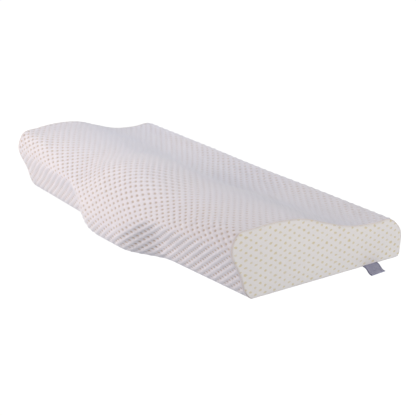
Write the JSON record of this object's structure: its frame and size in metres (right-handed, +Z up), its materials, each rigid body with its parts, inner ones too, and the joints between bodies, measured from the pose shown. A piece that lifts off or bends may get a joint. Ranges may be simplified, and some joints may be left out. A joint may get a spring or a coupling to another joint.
{
  "type": "cervical pillow",
  "caption": "Contour neck pillow: filled body with a high neck side, a forward neck lobe, side hollows and a head cradle, sewn end panels and a blank label tab.",
  "frame": {"origin": "middle of the flat underside, halfway along the length and halfway between the front-most and back-most points", "axes": "+X along the length, +Y towards the low back edge (the high neck side is -Y), +Z up"},
  "size_m": [0.6257, 0.3154, 0.1103],
  "materials": {
    "cover_knit": "puffed diamond jacquard knit, white with a pale lilac cast and beige dimples",
    "end_panel_knit": "smooth cream knit with small yellow-beige dots",
    "tab_ribbon": "satin-woven grey-lavender ribbon, blank"
  },
  "bodies": {
    "root": {"pillow_body": "cover_knit", "end_panel_right": "end_panel_knit", "end_panel_left": "end_panel_knit", "label_tab": "tab_ribbon"}
  },
  "joints": []
}
